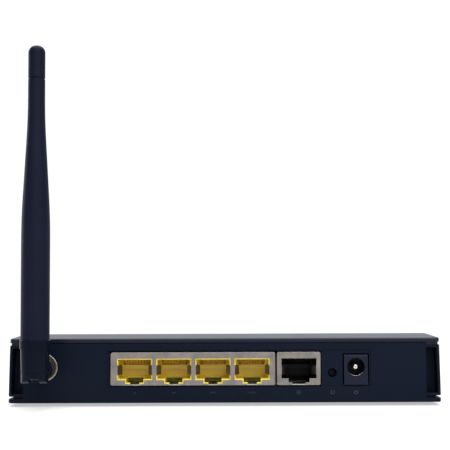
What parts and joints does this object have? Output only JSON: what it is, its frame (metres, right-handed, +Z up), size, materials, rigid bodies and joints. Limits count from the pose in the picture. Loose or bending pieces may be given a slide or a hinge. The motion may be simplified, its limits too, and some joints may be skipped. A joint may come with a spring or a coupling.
{
  "type": "wireless router",
  "caption": "Small desktop wireless router: wedge-shaped case, network sockets, reset hole and power inlet at the rear, and a swivelling, tilting antenna.",
  "frame": {"origin": "centre of the whole object's box, antenna included, at the feet's underside", "axes": "+Z up; the socket panel faces -Y and the status lights +Y; +X runs to the power inlet's side"},
  "size_m": [0.1544, 0.1368, 0.1257],
  "materials": {
    "case_plastic": "fine moulded grain, satin",
    "lid_plastic": "polished with a very fine grain",
    "trim_plastic": "fine moulded grain, satin",
    "window_plastic": "smoked, polished",
    "clear_plastic": "clear moulded light guide",
    "rubber": "matt",
    "screw_steel": "zinc plated",
    "label_film": "blank printed film",
    "shield_metal": "nickel plated sheet",
    "lan_plastic": "moulded, semi gloss",
    "wan_plastic": "moulded, semi gloss",
    "contact_gold": "gold plated",
    "inlet_plastic": "moulded, semi gloss",
    "pin_metal": "nickel plated",
    "switch_plastic": "moulded",
    "key_plastic": "moulded, satin",
    "board_laminate": "solder mask",
    "chip_plastic": "moulded epoxy",
    "heatsink_metal": "anodised",
    "can_metal": "drawn can",
    "ferrite": "sintered",
    "ceramic": "fired ceramic",
    "lamp_resin": "cast resin",
    "ptfe": "waxy",
    "jack_gold": "gold plated, turned",
    "coax_jacket": "extruded jacket",
    "grip_plastic": "moulded knurl",
    "antenna_plastic": "satin moulded",
    "hinge_plastic": "moulded, semi gloss",
    "hinge_steel": "blackened",
    "copper": "bare copper and brass"
  },
  "bodies": {
    "case": {"bottom_case": "case_plastic", "top_cover": "lid_plastic", "side_trim_right": "trim_plastic", "side_trim_left": "trim_plastic", "front_window": "window_plastic", "light_pipe": "clear_plastic", "rubber_feet": "rubber", "case_screws": "screw_steel", "board_screws": "screw_steel", "rating_label": "label_film", "lan_jack_shield": "shield_metal", "lan_jack_housing": "lan_plastic", "lan_jack_contacts": "contact_gold", "wan_jack_shield": "shield_metal", "wan_jack_housing": "wan_plastic", "wan_jack_contacts": "contact_gold", "power_inlet_housing": "inlet_plastic", "power_inlet_centre_pin": "pin_metal", "power_inlet_spring": "pin_metal", "reset_switch_body": "switch_plastic", "pairing_switch_body": "switch_plastic", "main_board": "board_laminate", "network_transformers": "chip_plastic", "processor_chip": "chip_plastic", "processor_heatsink": "heatsink_metal", "memory_chip": "chip_plastic", "flash_chip": "chip_plastic", "crystal": "can_metal", "electrolytic_capacitors": "can_metal", "power_inductors": "ferrite", "voltage_regulators": "chip_plastic", "radio_shield_can": "can_metal", "status_lights": "lamp_resin", "small_board_parts": "ceramic", "antenna_jack_body": "jack_gold", "antenna_jack_nut": "jack_gold", "antenna_jack_insulator": "ptfe", "antenna_jack_contact": "contact_gold", "coax_lead": "coax_jacket", "coax_lead_plug": "jack_gold", "board_radio_socket": "jack_gold", "antenna_coupling_nut": "grip_plastic"},
    "reset_key": {"reset_plunger": "key_plastic"},
    "pairing_key": {"pairing_button_cap": "key_plastic", "pairing_plunger": "switch_plastic"},
    "antenna_base": {"antenna_swivel_block": "hinge_plastic", "antenna_plug_body": "jack_gold", "antenna_plug_contact": "contact_gold"},
    "antenna_mast": {"antenna_hinge_housing": "hinge_plastic", "antenna_mast_sleeve": "antenna_plastic", "antenna_hinge_pin": "hinge_steel", "antenna_tip_cap": "antenna_plastic", "antenna_ground_sleeve": "copper", "antenna_feed_coax": "coax_jacket", "antenna_radiator": "copper"}
  },
  "joints": [
    {"name": "antenna_swivel", "type": "hinge", "parent": "case", "child": "antenna_base", "pos_m": [-0.06445, -0.05335, 0.01385], "axis": [0, 1, 0], "range_deg": [-90, 90]},
    {"name": "antenna_tilt", "type": "hinge", "parent": "antenna_base", "child": "antenna_mast", "pos_m": [-0.06445, -0.06315, 0.01385], "axis": [1, 0, 0], "range_deg": [0, 90]},
    {"name": "reset_press", "type": "slide", "parent": "case", "child": "reset_key", "axis": [0, 1, 0], "range_m": [0, 0.0003], "stiffness_N_per_m": 300, "springref_m": -0.001},
    {"name": "pairing_press", "type": "slide", "parent": "case", "child": "pairing_key", "axis": [0, -1, 0], "range_m": [0, 0.0003], "stiffness_N_per_m": 300, "springref_m": -0.001}
  ]
}
